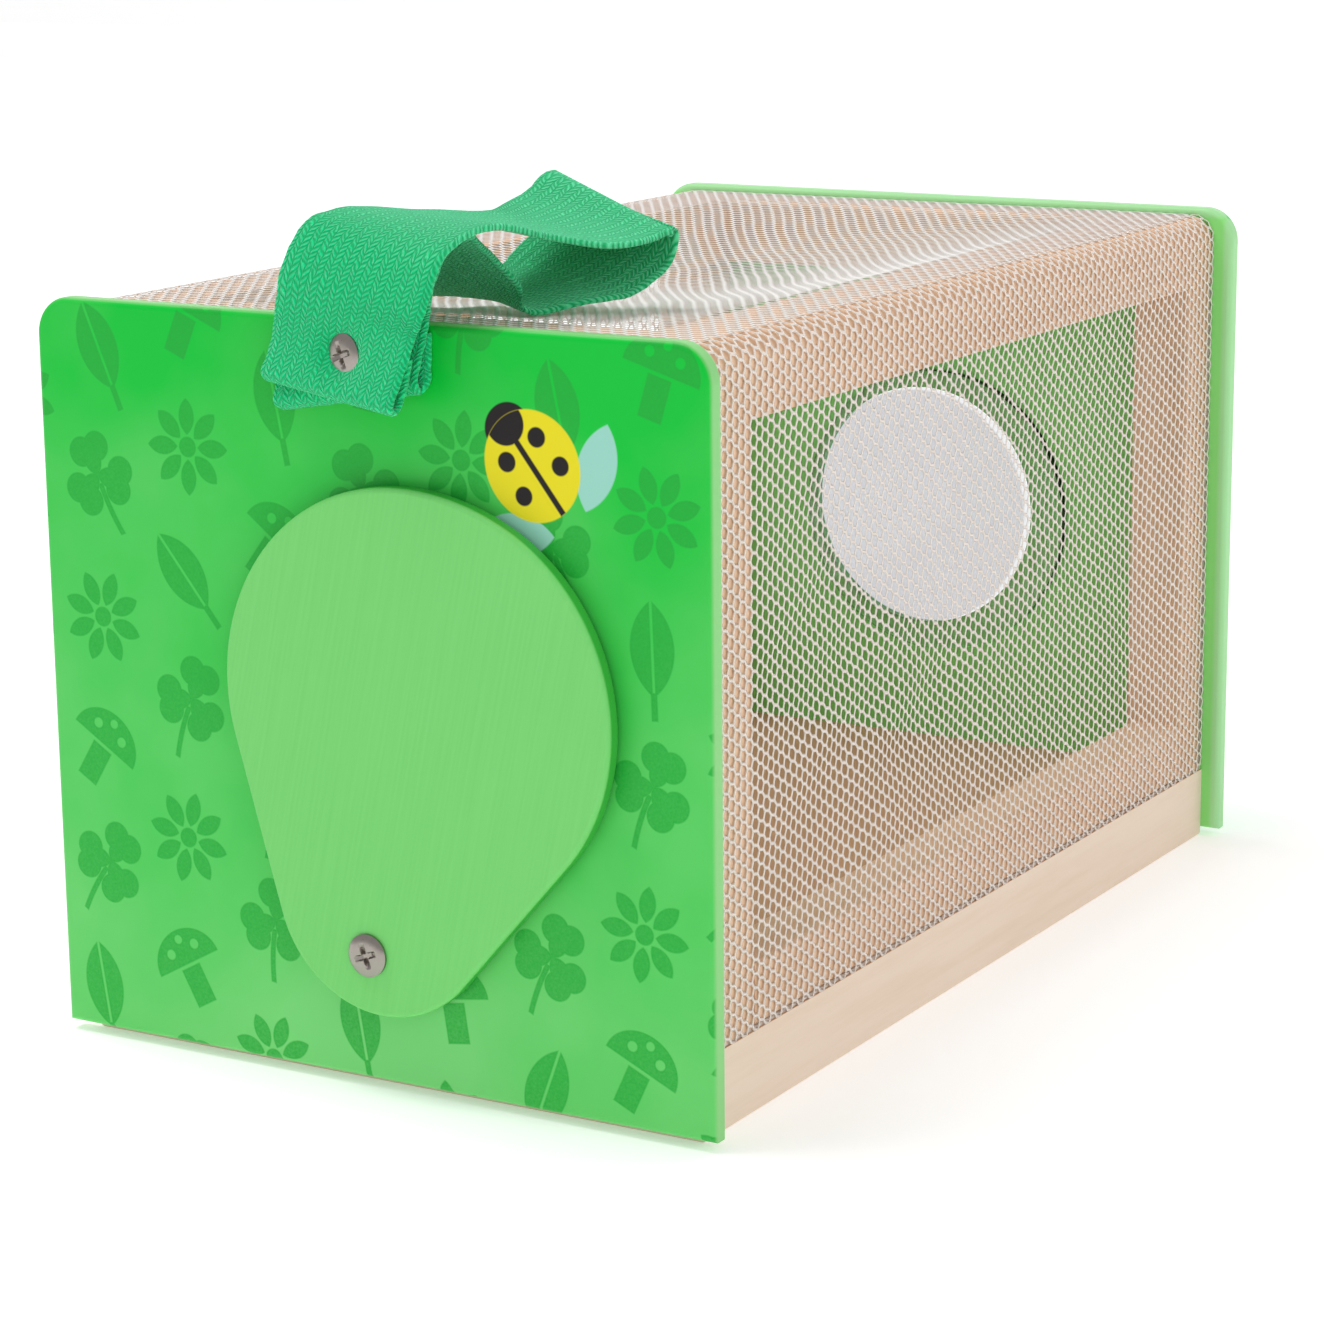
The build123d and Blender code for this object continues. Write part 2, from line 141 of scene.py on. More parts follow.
class NetLooks(bpy.types.PropertyGroup):
    yarn: colour("Yarn", "Colour of the net on the sides", 250, 241, 233)
    top_yarn: colour("Top yarn", "Colour of the net on the top", 247, 243, 240)
    row_pitch: length("Row pitch", "From one gap to the next up the wall", 2.2)
    column_pitch: length("Column pitch", "From one column of gaps to the next", 1.75)
    opacity: number("Opacity", "How little shows through the yarn on the sides", 0.7)
    top_opacity: number("Top opacity", "How little shows through the yarn on the top", 0.95)
    strand: length("Strand", "Width of the yarn", 0.6)
    flatness: number("Flatness", "Thickness of the yarn over its width", 0.25)
    skew: number("Skew", "How far the gaps are pulled out of true", 0.1)
    side_sag: length("Side sag", "How far a side wall bellies inwards", 2.2)
    top_sag: length("Top sag", "How far the top bellies downwards", 4.0)
    ripple: length("Ripple", "Height of the slanting ripples", 0.35)
    ripple_pitch: length("Ripple pitch", "From one ripple to the next", 13.0)
    drift: length("Drift", "How far the gaps are pulled along the wall", 5.0)


class StrapLooks(bpy.types.PropertyGroup):
    light: colour("Yarn", "Colour of the webbing", 16, 230, 146)
    # The hollows colour is painted shade between the yarns.
    dark: colour("Hollows", "Colour between the yarns of the webbing", 0, 162, 90)
    # The fuzz colour also paints the top of the loop paler: painted light from above.
    fuzz_and_top_light: colour("Fuzz", "Pale fibres on the webbing", 140, 238, 192)
    dimple: length("Dimple", "How far the screw presses the webbing in", 2.0)
    dimple_radius: length("Dimple radius", "Reach of that dimple from the screw", 5.5)
    width: length("Width", "Width of the webbing", 26.0)
    thickness: length("Thickness", "Thickness of the webbing", 1.0)
    column: length("Column", "Width of one slanting column of the weave", 1.1)
    twill: length("Twill", "From one slanting yarn to the next", 0.85)


class MetalLooks(bpy.types.PropertyGroup):
    steel: colour("Steel", "Screws, washer, nut and staples", 160, 152, 146)
    strap_screw_lean: angle("Strap screw lean", "Turn of the strap's screw, towards the left", 13.0)
    head_thickness: length("Head thickness", "From the face of a screw's head to its underside", 0.9)
    head_dome: length("Head dome", "How far the head's rim lies behind its middle", 0.55)
    shank_radius: length("Shank radius", "Radius of a screw's shank", 1.75)
    recess_turn: angle("Recess turn", "Turn of the cross recess about the screw", 20.0535)
    recess_arm: length("Recess arm", "Reach of the cross recess from the middle", 2.1)
    recess_width: length("Recess width", "Half width of an arm of the cross recess", 0.5)
    recess_depth: length("Recess depth", "Depth of the cross recess", 0.75)
    lens_clear: colour("Lens rim", "Tint of the magnifier over the panel", 252, 253, 252)
    # The grey over the viewing hole is painted shade of what lies behind it, with some haze.
    lens_haze_and_shade: colour("Lens haze", "Tint of the magnifier over the viewing hole", 188, 189, 193)
    hole_x: length("Viewing hole X", "Middle of the viewing hole", -2.4)
    hole_z: length("Viewing hole height", "Middle of the viewing hole above the ground", 59.0)
    hole_radius: length("Viewing hole radius", "Radius of the viewing hole", 22.8)


class StudioLooks(bpy.types.PropertyGroup):
    lens: number("Focal length", "Lens of the camera in millimetres, on a 36 mm sensor", 99.213)
    azimuth: angle("Azimuth", "Camera's turn to the right of the front", 30.30)
    elevation: angle("Elevation", "Camera's angle above the ground", 13.146)
    roll: angle("Roll", "Camera's turn about its own axis", -0.553)
    distance: length("Distance", "Camera to its target", 597.103)
    target: point("Target", "What the camera points at", 18.05, -38.6, 55.683)
    sky: number("Sky", "Strength of the white surroundings", 0.5)
    key: number("Key light", "Power of the soft light above, in watts", 8.5)
    fill: number("Fill light", "Power of the soft light at the right, in watts", 3.2)
    key_size: length("Key light size", "Width of the soft light above", 700.0)
    key_place: point("Key light place", "Middle of the soft light above", -400.0, -150.0, 1200.0)
    fill_size: length("Fill light size", "Width of the soft light at the right", 900.0)
    fill_place: point("Fill light place", "Middle of the light at the right", 1100.0, -500.0, 700.0)
    light_target: point("Light target", "What both lights point at", 0.0, 0.0, 60.0)
    floor: colour("Floor", "White floor", 250, 250, 250)
    # The dimmer glow near the box is painted shade on the floor.
    floor_near_shade: colour("Floor near the box", "Dimmer glow in the shadow of the box", 225, 225, 225)
    floor_glow: number("Floor glow", "Light that the floor gives off, so that it is pure white", 0.37)


# Nodes with arithmetic


class Value:
    """An output of a node, with arithmetic that adds nodes to its tree."""

    def __init__(self, tree, socket):
        self.tree = tree
        self.socket = socket

    def also(self, output):
        """Another output of the same node."""
        return Value(self.tree, self.socket.node.outputs[output])

    def maths(self, operation, *values):
        return add_node(self.tree, "ShaderNodeMath", dict(enumerate(values)), operation=operation)

    def __add__(self, other):
        return self.maths("ADD", self, other)

    def __radd__(self, other):
        return self.maths("ADD", other, self)

    def __sub__(self, other):
        return self.maths("SUBTRACT", self, other)

    def __rsub__(self, other):
        return self.maths("SUBTRACT", other, self)

    def __mul__(self, other):
        return self.maths("MULTIPLY", self, other)

    def __truediv__(self, other):
        return self.maths("DIVIDE", self, other)

    def __rtruediv__(self, other):
        return self.maths("DIVIDE", other, self)

    def __neg__(self):
        return self.maths("MULTIPLY", self, -1.0)

    def __abs__(self):
        return self.maths("ABSOLUTE", self)

    def __mod__(self, other):
        return self.maths("FLOORED_MODULO", self, other)

    def __lt__(self, other):
        return self.maths("LESS_THAN", self, other)

    def __gt__(self, other):
        return self.maths("GREATER_THAN", self, other)

    def least(self, other):
        return self.maths("MINIMUM", self, other)

    def most(self, other):
        return self.maths("MAXIMUM", self, other)

    def floor(self):
        return self.maths("FLOOR", self)

    def sine(self):
        return self.maths("SINE", self)

    def cosine(self):
        return self.maths("COSINE", self)

    def root(self):
        return self.maths("SQRT", self)

    def held(self):
        """The value kept between 0 and 1."""
        return self.most(0.0).least(1.0)


def add_node(tree, kind, inputs=None, output=0, **settings):
    """Adds a node, sets it up, feeds its inputs by name or place and returns one of its outputs."""
    node = tree.nodes.new(kind)
    for key, setting in settings.items():
        setattr(node, key, setting)
    for key, value in (inputs or {}).items():
        if isinstance(value, Value):
            tree.links.new(value.socket, node.inputs[key])
        else:
            node.inputs[key].default_value = value
    return Value(tree, node.outputs[output])


def hypot(x, y):
    """Distance from the origin."""
    return (x * x + y * y).root()


def turned(x, y, turn):
    """A place turned about the origin, by a number or by a value."""
    if isinstance(turn, float):
        cosine, sine = math.cos(turn), math.sin(turn)
    else:
        cosine, sine = turn.cosine(), turn.sine()
    return x * cosine + y * sine, y * cosine - x * sine


def mixed(amount, first, second):
    """A colour between two colours."""
    first_input, second_input, result = 6, 7, 2  # the node's sockets for colours
    inputs = {0: amount, first_input: opaque(first), second_input: opaque(second)}
    return add_node(amount.tree, "ShaderNodeMix", inputs, output=result, data_type="RGBA")


def opaque(tone):
    """A colour with its alpha, or a value as it is."""
    return tone if isinstance(tone, Value) else (*tone[:3], 1.0)


def noise(place, scale, detail=2.0):
    """Noise at a place, from 0 to 1."""
    inputs = {"Vector": place, "Scale": scale, "Detail": detail}
    return add_node(place.tree, "ShaderNodeTexNoise", inputs)


def joined(x, y, z):
    """Three values as one vector."""
    tree = next(part.tree for part in (x, y, z) if isinstance(part, Value))
    return add_node(tree, "ShaderNodeCombineXYZ", {0: x, 1: y, 2: z})


def bumped(height, distance, strength):
    """A normal bent by a height from 0 to 1 that stands for a distance in metres."""
    inputs = {"Height": height, "Distance": distance, "Strength": strength}
    return add_node(height.tree, "ShaderNodeBump", inputs)


class Surface:
    """A material, its principled shader and the place in millimetres on the object or its UV map."""

    def __init__(self, name, on="Object"):
        self.material = bpy.data.materials.new(name)
        self.material.use_nodes = True
        self.tree = self.material.node_tree
        self.shader = self.tree.nodes["Principled BSDF"]
        where = add_node(self.tree, "ShaderNodeTexCoord", output=on)
        scale = 1 / MM if on == "Object" else 1.0
        parts = add_node(self.tree, "ShaderNodeSeparateXYZ", {0: where})
        self.x, self.y, self.z = (parts.also(axis) * scale for axis in range(3))

    def place(self):
        """The place as one vector."""
        return joined(self.x, self.y, self.z)

    def set(self, **inputs):
        """Sets or feeds the shader's inputs: underscores in a name stand for spaces."""
        for key, value in inputs.items():
            socket = self.shader.inputs[key.replace("_", " ")]
            if isinstance(value, Value):
                self.tree.links.new(value.socket, socket)
            else:
                socket.default_value = opaque(value) if hasattr(value, "__len__") else value
        return self.material


# Pieces


def dress(material, *nodes):
    """Gives CAD nodes a material through their objects' own slots."""
    for node in nodes:
        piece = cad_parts[node]
        if not piece.material_slots:
            piece.data.materials.append(None)
        for slot in piece.material_slots:
            slot.link = "OBJECT"
            slot.material = material


def add_piece(name, mesh, material, body, node):
    """Puts a mesh in the scene, in place of a CAD node."""
    mesh.materials.clear()
    mesh.materials.append(material)
    piece = bpy.data.objects.new(name, mesh)
    bpy.context.scene.collection.objects.link(piece)
    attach(piece, body)
    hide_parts(node)
    return piece


def grid_faces(rows, columns, closed_columns=False):
    """The quads of a grid of rows by columns of points, whose columns may close on themselves."""
    faces = []
    for row in range(rows - 1):
        for column in range(columns if closed_columns else columns - 1):
            next_column = (column + 1) % columns
            corners = ((row, column), (row, next_column), (row + 1, next_column), (row + 1, column))
            faces.append([a * columns + b for a, b in corners])
    return faces


# Paint


def circle(x, z, centre_x, centre_z, radius):
    """Distance outside a circle in millimetres, like all the outlines that follow."""
    return hypot(x - centre_x, z - centre_z) - radius


def leaf_outline(x, z, half_length, half_width):
    """A leaf between two arcs, with its tips up and down."""
    radius = (half_length**2 + half_width**2) / (2 * half_width)
    return hypot(abs(x) + (radius - half_width), z) - radius


def stem_outline(x, z, top, bottom, half_width):
    """An upright bar."""
    return (abs(x) - half_width).most(abs(z - (top + bottom) / 2) - (top - bottom) / 2)


def petals(x, z, count):
    """The place in one petal's own frame, the same for every petal."""
    sector = 2 * math.pi / count
    around = x.maths("ARCTAN2", x, z)
    folded = (around + sector / 2) % sector - sector / 2
    reach = hypot(x, z)
    return reach * folded.sine(), reach * folded.cosine()


def leaf_motif(x, z):
    blade = leaf_outline(x, z - 1.5, half_length=7.0, half_width=3.6)
    rib = 0.3 - abs(x)
    stem = stem_outline(x, z, top=-5.0, bottom=-9.0, half_width=0.45)
    return blade.most(rib).least(stem)


def mushroom_motif(x, z):
    cap = circle(x, z * 1.15, 0.0, 0.0, radius=6.4).most(-z)
    side_dots = circle(abs(x), z, 2.6, 2.4, radius=0.9)
    top_dot = circle(x, z, 0.0, 4.1, radius=0.8)
    stalk = stem_outline(x, z, top=-0.7, bottom=-7.0, half_width=1.9)
    return cap.most(-side_dots.least(top_dot)).least(stalk)


def clover_motif(x, z):
    across, out = petals(x, z - 2.0, count=3)
    lobes = circle(abs(across), out, 1.5, 4.2, radius=2.3)
    middles = leaf_outline(across, out - 2.6, half_length=2.6, half_width=1.6)
    bent = x - z * z * 0.015
    stem = stem_outline(bent, z, top=0.5, bottom=-8.0, half_width=0.4)
    return lobes.least(middles).least(stem)


def daisy_motif(x, z):
    across, out = petals(x, z, count=8)
    ring = leaf_outline(across, out - 4.7, half_length=2.7, half_width=1.35)
    return ring.least(circle(x, z, 0.0, 0.0, radius=1.5))


def printed_motifs(surface, looks):
    """Distance outside the printed motifs, which sit in leaning staggered rows."""
    pitch = looks.motif_pitch / MM
    lean = float(looks.motif_lean)
    spin = 1.5  # how far two motifs may be turned apart, in radians
    across, up = turned(surface.x + looks.motif_x / MM, surface.z + looks.motif_z / MM, lean)
    row = (up / pitch).floor()
    shifted = across / pitch + (row % 2.0) * 0.5
    column = shifted.floor()
    chance = add_node(
        surface.tree, "ShaderNodeTexWhiteNoise", {"Vector": joined(column, row, 0.0)}, noise_dimensions="3D"
    )
    x = (shifted - column - 0.5) * pitch
    z = up - (row + 0.5) * pitch
    x, z = turned(x, z, (chance - 0.5) * spin - lean)
    kind = (column + row * 2.0) % 4.0
    shape = None
    for index, motif in enumerate((leaf_motif, mushroom_motif, clover_motif, daisy_motif)):
        here = abs(kind - float(index)) < 0.5
        outline = motif(x, z) * here
        shape = outline if shape is None else shape + outline
    return shape


def beetle_layers(surface, looks):
    """Distances outside the printed beetle's leaves, head, shell and marks."""
    x, z = turned(surface.x - looks.beetle_x / MM, surface.z - looks.beetle_z / MM, float(looks.beetle_turn))
    x, z = x / looks.beetle_size, z / looks.beetle_size
    head_z = 6.2
    side_x, side_z = turned(abs(x) - 7.4, z + 5.2, -0.95)
    leaves = leaf_outline(side_x, side_z, half_length=5.6, half_width=2.7)
    head = circle(x, z * 1.1, 0.0, head_z, radius=3.3)
    shell = circle(x, z * 0.94, 0.0, 0.0, radius=6.6)
    upper_dots = circle(abs(x), z, 2.7, 2.4, radius=1.25)
    lower_dots = circle(abs(x), z, 3.3, -2.2, radius=1.2)
    seam = abs(x) - 0.4
    collar = circle(x, z, 0.0, head_z, radius=2.7)
    marks = upper_dots.least(lower_dots).least(seam).least(collar).most(shell)
    return leaves, head, shell, marks


def inked(outline, softness=0.2):
    """How much ink there is at a distance outside an outline."""
    return (0.5 - outline / softness).held()


def print_amount(surface, looks, speckle):
    """How dark the printed motifs are: speckled, with a firm rim."""
    rim_width = 0.22
    rim_strength = 0.35
    outline = printed_motifs(surface, looks)
    rim = (1.0 - abs(outline) / rim_width).held() * rim_strength
    return (inked(outline, softness=0.3) * (0.55 + speckle * 0.5).held() + rim).held()


def washed(surface, looks, top):
    """Green paint that pales downwards, most of all low in the middle, a little cloudy."""
    paler_each_mm = 0.0062
    middle_half_width = 34.0
    middle_height = 32.0
    clouds = noise(surface.place(), scale=0.035, detail=3.0) * 0.9 - 0.42
    fade = (top / MM - surface.z) * paler_each_mm
    across = surface.x / middle_half_width
    up = surface.z / middle_height
    middle = (1.0 - across * across - up * up).most(0.0) * 0.35
    return mixed((clouds + fade + middle).held(), looks.panel, looks.panel_pale)


def front_paint(looks, low, high):
    """Washed green paint, printed on the outside only, with a painted highlight on its rounded edges."""
    edge_start, edge_fade = 0.25, 0.5  # millimetres behind the front face
    back_start, back_fade = 2.9, 0.4
    surface = Surface("front_panel_paint")
    speckle = noise(surface.place(), scale=2.6)
    art = mixed(print_amount(surface, looks, speckle), washed(surface, looks, high.z), looks.motif)
    beetle_tones = (looks.aqua, looks.black, looks.yellow, looks.black)
    for layer, tone in zip(beetle_layers(surface, looks), beetle_tones):
        art = mixed(inked(layer), art, tone)
    depth = surface.y - low.y / MM
    # Paler green on the rounded edge and the sides: a painted highlight.
    edge_highlight = ((depth - edge_start) / edge_fade).held()
    back = ((depth - back_start) / back_fade).held()
    return surface.set(
        Base_Color=mixed(back, mixed(edge_highlight, art, looks.edge), looks.inside),
        Roughness=0.34 + speckle * 0.08,
        Specular_IOR_Level=looks.gloss,
    )


def rear_paint(looks, low, high):
    """Plain washed green paint, with paler edges that are a painted highlight."""
    rim_width, rim_fade = 2.0, 0.8  # millimetres in from the edge
    rim_depth, depth_fade = 3.4, 0.4
    surface = Surface("rear_panel_paint")
    depth = surface.y - low.y / MM
    half_depth = (high.y - low.y) / MM / 2
    to_rim = (high.x / MM - abs(surface.x)).least(high.z / MM - surface.z)
    # Paler green near the edges, towards the inner face: a painted highlight.
    edge_highlight = ((rim_width - to_rim) / rim_fade).held() * ((rim_depth - depth) / depth_fade).held()
    face = mixed(depth > half_depth, looks.inside, washed(surface, looks, high.z))
    return surface.set(
        Base_Color=mixed(edge_highlight, face, looks.rear_edge_highlight),
        Roughness=0.38,
        Specular_IOR_Level=looks.gloss,
    )


def door_paint(looks, back_y):
    """Satin paint with brush marks along the door."""
    edge_depth, edge_fade = 2.6, 0.5  # millimetres in front of the door's back
    surface = Surface("door_paint")
    across, along = turned(surface.x, surface.z, -float(looks.door_tilt))
    marks = noise(joined(across * 2.2, surface.y, along * 0.05), scale=1.0, detail=3.0)
    broad = noise(joined(across, surface.y, along), scale=0.03)
    amount = (marks * 0.75 + broad * 0.4 - 0.1).held()
    depth = back_y / MM - surface.y
    edge = ((edge_depth - depth) / edge_fade).held()
    tone = mixed(amount, looks.door, looks.door_pale)
    return surface.set(
        Base_Color=mixed(edge, tone, looks.door_edge),
        Roughness=0.36 + marks * 0.1,
        Specular_IOR_Level=looks.gloss,
        Normal=bumped(marks, 0.05 * MM, strength=0.5),
    )


class BUGBOX_OT_panels(bpy.types.Operator):
    """Paint the two panels and print the motifs on the front one"""

    bl_idname = "bugbox.panels"
    bl_label = "Paint the panels"

    def execute(self, context):
        looks = context.scene.bugbox_paint
        dress(front_paint(looks, *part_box("front_panel")), "front_panel")
        dress(rear_paint(looks, *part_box("rear_panel")), "rear_panel")
        return {"FINISHED"}


class BUGBOX_OT_door(bpy.types.Operator):
    """Paint the door with brush marks"""

    bl_idname = "bugbox.door"
    bl_label = "Paint the door"

    def execute(self, context):
        looks = context.scene.bugbox_paint
        dress(door_paint(looks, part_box("door")[1].y), "door")
        return {"FINISHED"}


# Wood


def wood(looks, name, grain, pale, dark, floor=None):
    """Bare wood with its grain along one axis, and another tone above the height of the floor, partly
    painted shade.
    """
    grain_stretch = 0.06
    surface = Surface(name)
    stretch = [grain_stretch if axis == grain else 1.0 for axis in "xyz"]
    place = joined(surface.x * stretch[0], surface.y * stretch[1], surface.z * stretch[2])
    pitch = looks.grain_pitch / MM
    lines = noise(place, scale=1 / pitch, detail=4.0)
    pores = noise(place, scale=6 / pitch)
    amount = ((lines - 0.4) * 2.2 + (pores - 0.5) * 0.7).held()
    tone = mixed(amount, pale, dark)
    if floor is not None:
        # Above the floor's height the wood is browner: partly its own tone, partly painted shade.
        tone = mixed(surface.z > floor / MM, tone, looks.floor)
    return surface.set(
        Base_Color=tone,
        Roughness=0.7,
        Specular_IOR_Level=0.15,
        Normal=bumped(pores, 0.05 * MM, strength=0.4),
    )


class BUGBOX_OT_wood(bpy.types.Operator):
    """Give the base, the frame sticks and the dowels their grain"""

    bl_idname = "bugbox.wood"
    bl_label = "Grain the wood"

    def execute(self, context):
        looks = context.scene.bugbox_wood
        sticks = {}
        for axis in "xyz":
            sticks[axis] = wood(looks, "wood_along_" + axis, axis, looks.stick, looks.stick_grain)
        # The browner upper face is partly painted shade inside the box.
        skin = 0.05 * MM  # only the upper face of the base board is browner, not its sides
        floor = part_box("base_board")[1].z - skin
        dress(wood(looks, "base_wood", "y", looks.base, looks.base_grain, floor), "base_board")
        dress(sticks["y"], "top_left_rail", "top_right_rail", "bottom_left_rail", "bottom_right_rail")
        dress(sticks["y"], "front_panel_dowels", "rear_panel_dowels")
        dress(sticks["x"], "front_cross_rail", "rear_cross_rail")
        dress(sticks["z"], "front_left_post", "front_right_post", "rear_left_post", "rear_right_post")
        return {"FINISHED"}


# Net

net_sizes = (
    "Column Pitch",
    "Row Pitch",
    "Strand",
    "Flatness",
    "Skew",
    "Flat Height",
    "Bend Radius",
    "Sag",
    "Ripple",
    "Ripple Pitch",
    "Drift",
    "Window Along",
    "Window Half Length",
    "Window Middle",
    "Window Half Height",
)


def net_inputs(tree):
    """Names what the net's nodes take and give, and returns what they take."""
    kinds = {
        "NodeSocketInt": ("Columns", "Rows"),
        "NodeSocketFloat": net_sizes,
        "NodeSocketVector": ("Rotation", "Place"),
        "NodeSocketMaterial": ("Material",),
    }
    for kind, names in kinds.items():
        for name in names:
            tree.interface.new_socket(name=name, in_out="INPUT", socket_type=kind)
    tree.interface.new_socket(name="Net", in_out="OUTPUT", socket_type="NodeSocketGeometry")
    return add_node(tree, "NodeGroupInput")


def lattice(tree, given, size):
    """The middles of the gaps, from the bottom edge up, with every other column half a row higher."""
    columns, rows = given.also("Columns"), given.also("Rows")
    wide, high = size["Column Pitch"] * (columns - 1.0), size["Row Pitch"] * (rows - 1.0)
    inputs = {"Size X": wide, "Size Y": high, "Vertices X": columns, "Vertices Y": rows}
    grid = add_node(tree, "GeometryNodeMeshGrid", inputs)
    parts = add_node(tree, "ShaderNodeSeparateXYZ", {0: add_node(tree, "GeometryNodeInputPosition")})
    column = (parts.also("X") / size["Column Pitch"] + wide / size["Column Pitch"] / 2.0 + 0.25).floor()
    rise = (column % 2.0) * size["Row Pitch"] * 0.5 + high / 2.0 + size["Row Pitch"] * 0.5
    return add_node(tree, "GeometryNodeSetPosition", {"Geometry": grid, "Offset": joined(0.0, rise, 0.0)})


def gap_rims(tree, size, middles):
    """The six-sided rims of the gaps, a little askew, joined where they meet."""
    ring = add_node(tree, "GeometryNodeMeshCircle", {"Vertices": 6, "Radius": 1.0}, fill_type="NONE")
    alternate = 1.0 - (add_node(tree, "GeometryNodeInputIndex") % 2.0) * 2.0
    skew = joined(0.0, alternate * size["Skew"], 0.0)
    ring = add_node(tree, "GeometryNodeSetPosition", {"Geometry": ring, "Offset": skew})
    scale = joined(size["Column Pitch"] / 1.5, size["Row Pitch"] / math.sqrt(3), 1.0)
    copies = {"Points": middles, "Instance": ring, "Scale": scale}
    rims = add_node(tree, "GeometryNodeInstanceOnPoints", copies)
    rims = add_node(tree, "GeometryNodeRealizeInstances", {0: rims})
    near = size["Row Pitch"] * 0.05
    rims = add_node(tree, "GeometryNodeMergeByDistance", {"Geometry": rims, "Distance": near})
    return add_node(tree, "GeometryNodeMeshToCurve", {0: rims})


def flat_yarn(tree, size, lines):
    """Yarn along the lines, pressed flat."""
    radius = size["Strand"] * 0.5
    round_yarn = add_node(tree, "GeometryNodeCurvePrimitiveCircle", {"Resolution": 4, "Radius": radius})
    yarn = add_node(tree, "GeometryNodeCurveToMesh", {"Curve": lines, "Profile Curve": round_yarn})
    pressed = joined(1.0, 1.0, size["Flatness"])
    return add_node(tree, "GeometryNodeTransform", {"Geometry": yarn, "Scale": pressed})


def bellied(tree, size):
    """Where a point of the flat net goes: bent over at the top, bellied and rippled over the window."""
    parts = add_node(tree, "ShaderNodeSeparateXYZ", {0: add_node(tree, "GeometryNodeInputPosition")})
    along, up, lift = parts.also("X"), parts.also("Y"), parts.also("Z")
    bend = ((up - size["Flat Height"]) / size["Bend Radius"]).most(0.0).least(math.pi / 2)
    height = up.least(size["Flat Height"]) + (size["Bend Radius"] + lift) * bend.sine()
    length_part = (along - size["Window Along"]) / size["Window Half Length"]
    height_part = (up - size["Window Middle"]) / size["Window Half Height"]
    free = (1.0 - length_part * length_part).most(0.0) * (1.0 - height_part * height_part).most(0.0)
    slant = (along * 0.45 - up * 0.9) * (2 * math.pi / size["Ripple Pitch"])
    near_front = (0.35 - length_part * 0.65).held()
    ripple = slant.sine() * size["Ripple"] * free.root() * near_front
    depth = (size["Bend Radius"] + lift) * bend.cosine() - size["Bend Radius"] - size["Sag"] * free + ripple
    pull = noise(joined(along, up, 0.0), scale=22.0, detail=1.0) - 0.5
    return joined(along + pull * size["Drift"] * 2.0 * free.root(), height, depth)


def net_tree():
    """Geometry nodes that knit a flat net of six-sided gaps, belly it and bend its top edge over."""
    tree = bpy.data.node_groups.new("hexagon_net", "GeometryNodeTree")
    given = net_inputs(tree)
    size = {name: given.also(name) for name in net_sizes}
    yarn = flat_yarn(tree, size, gap_rims(tree, size, lattice(tree, given, size)))
    yarn = add_node(tree, "GeometryNodeSetPosition", {"Geometry": yarn, "Position": bellied(tree, size)})
    placed = {"Geometry": yarn, "Rotation": given.also("Rotation"), "Translation": given.also("Place")}
    yarn = add_node(tree, "GeometryNodeTransform", placed)
    yarn = add_node(tree, "GeometryNodeSetShadeSmooth", {"Geometry": yarn})
    yarn = add_node(tree, "GeometryNodeRealizeInstances", {0: yarn})
    yarn = add_node(tree, "GeometryNodeSetMaterial", {"Geometry": yarn, "Material": given.also("Material")})
    net = tree.nodes.new("NodeGroupOutput")
    tree.links.new(yarn.socket, net.inputs[0])
    return tree


def add_hems(mesh, hems):
    """Adds flat hems to a net, each a box from its lowest corner to its highest."""
    form = bmesh.new()
    form.from_mesh(mesh)
    for low, high in hems:
        place = Matrix.Translation((low + high) / 2) @ Matrix.Diagonal((*(high - low), 1.0))
        bmesh.ops.create_cube(form, size=1.0, matrix=place)
    form.to_mesh(mesh)
    form.free()


def side_hems(wall, thickness, top, side):
    """The hem under the bottom rail and the hems over the ends of the posts, on side -1 or 1."""
    low, high = wall
    inner, outer = sorted((side * low.x, side * (high.x - thickness)))
    under = (Vector((inner, low.y, low.z)), Vector((outer, high.y, low.z + thickness)))
    hems = [under]
    for start in (low.y, high.y - thickness):
        hems.append((Vector((inner, start, low.z + thickness)), Vector((outer, start + thickness, top))))
    return hems


def knit(context, tree, name, node, material, settings, hems=()):
    maker = bpy.data.objects.new(name + "_maker", bpy.data.meshes.new(name + "_maker"))
    context.scene.collection.objects.link(maker)
    modifier = maker.modifiers.new("net", "NODES")
    modifier.node_group = tree
    for item in tree.interface.items_tree:
        if item.in_out == "INPUT":
            modifier[item.identifier] = material if item.name == "Material" else settings[item.name]
    evaluated = maker.evaluated_get(context.evaluated_depsgraph_get())
    mesh = bpy.data.meshes.new_from_object(evaluated)
    maker.modifiers.remove(modifier)
    bpy.data.objects.remove(maker)
    mesh.name = name
    add_hems(mesh, hems)
    piece = add_piece(name, mesh, material, "box", node)


def net_yarn(name, tone, opacity):
    """Matt yarn that lets a little of what is behind it through."""
    surface = Surface(name)
    return surface.set(Base_Color=tone, Alpha=opacity, Roughness=0.8, Specular_IOR_Level=0.15)


def shared_settings(looks, net_length, bend):
    """What the nodes of the three nets have in common."""
    front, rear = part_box("front_right_post")[1].y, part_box("rear_right_post")[0].y
    columns = int(net_length / looks.column_pitch)
    return {
        "Columns": columns,
        "Column Pitch": net_length / (columns + 0.5),
        "Strand": looks.strand,
        "Flatness": looks.flatness,
        "Skew": looks.skew,
        "Bend Radius": bend,
        "Ripple": looks.ripple,
        "Ripple Pitch": looks.ripple_pitch,
        "Drift": looks.drift,
        "Window Along": (front + rear) / 2,
        "Window Half Length": (rear - front) / 2,
    }


def add_rows(settings, looks, height):
    """The settings with as many rows as fill a height."""
    rows = int(height / looks.row_pitch)
    return dict(settings, **{"Rows": rows, "Row Pitch": height / (rows + 0.5)})


